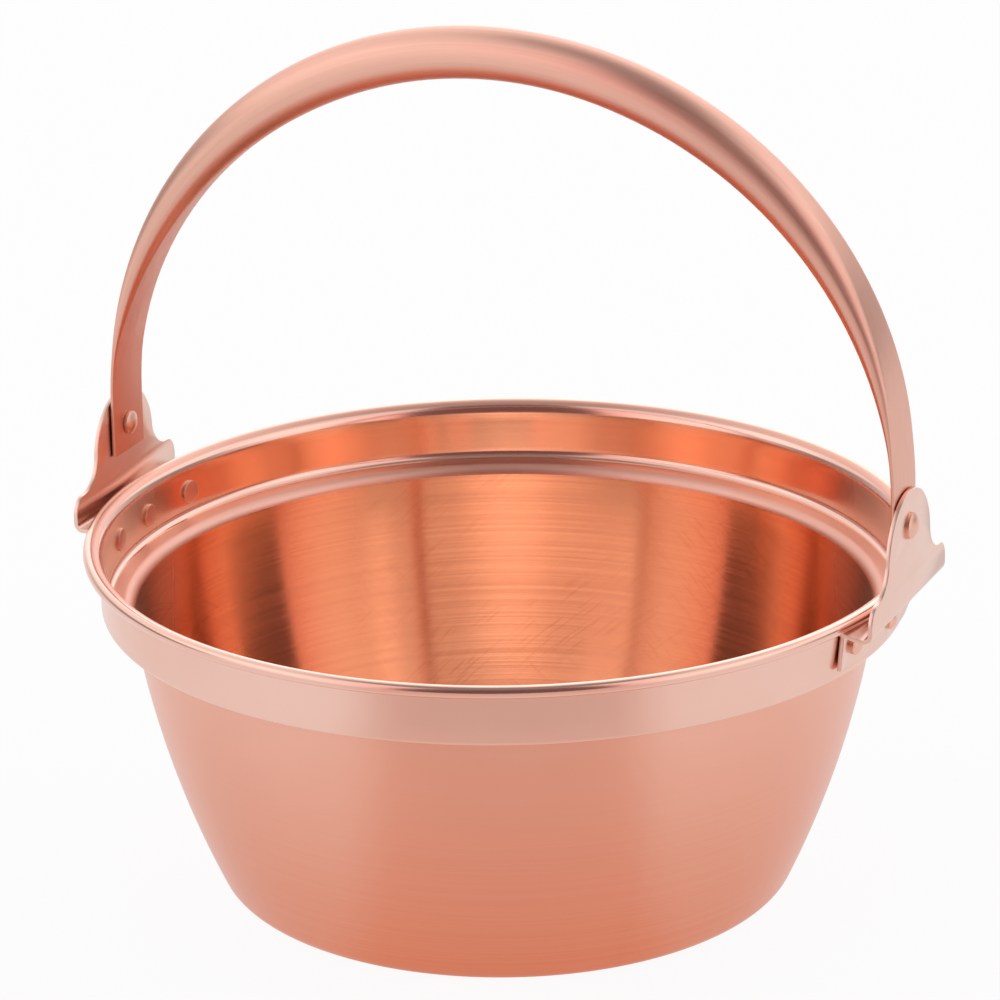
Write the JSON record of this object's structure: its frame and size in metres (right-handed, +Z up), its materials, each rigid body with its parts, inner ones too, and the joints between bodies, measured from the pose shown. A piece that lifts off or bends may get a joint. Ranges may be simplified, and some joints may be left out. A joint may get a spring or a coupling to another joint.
{
  "type": "soup kettle",
  "caption": "Open round copper soup kettle: spun pot with a flat base, stepped band and rolled rim, riveted side brackets and a swinging arched bail handle.",
  "frame": {"origin": "centre of the flat base, on the surface the kettle stands on", "axes": "+Z up along the pot's axis, +X along the handle's pivot axis, +Y across it, so the upright handle lies in the XZ plane"},
  "size_m": [0.3178, 0.306, 0.3198],
  "materials": {
    "spun_copper": "satin, fine spun lines",
    "sheet_copper": "satin",
    "rivet_copper": "polished",
    "handle_copper": "satin, brushed lengthwise",
    "washer_brass": "satin",
    "rim_wire": "drawn"
  },
  "bodies": {
    "pot": {"pot_shell": "spun_copper", "rim_wire": "rim_wire", "right_bracket": "sheet_copper", "left_bracket": "sheet_copper", "right_near_rivet": "rivet_copper", "right_middle_rivet": "rivet_copper", "right_far_rivet": "rivet_copper", "left_near_rivet": "rivet_copper", "left_middle_rivet": "rivet_copper", "left_far_rivet": "rivet_copper", "right_pivot_rivet": "rivet_copper", "left_pivot_rivet": "rivet_copper", "right_spacer_washer": "washer_brass", "left_spacer_washer": "washer_brass"},
    "handle": {"bail_handle": "handle_copper"}
  },
  "joints": [
    {"name": "handle_swing", "type": "hinge", "parent": "pot", "child": "handle", "pos_m": [0, 0, 0.1544], "axis": [1, 0, 0], "range_deg": [-95, 95]}
  ]
}
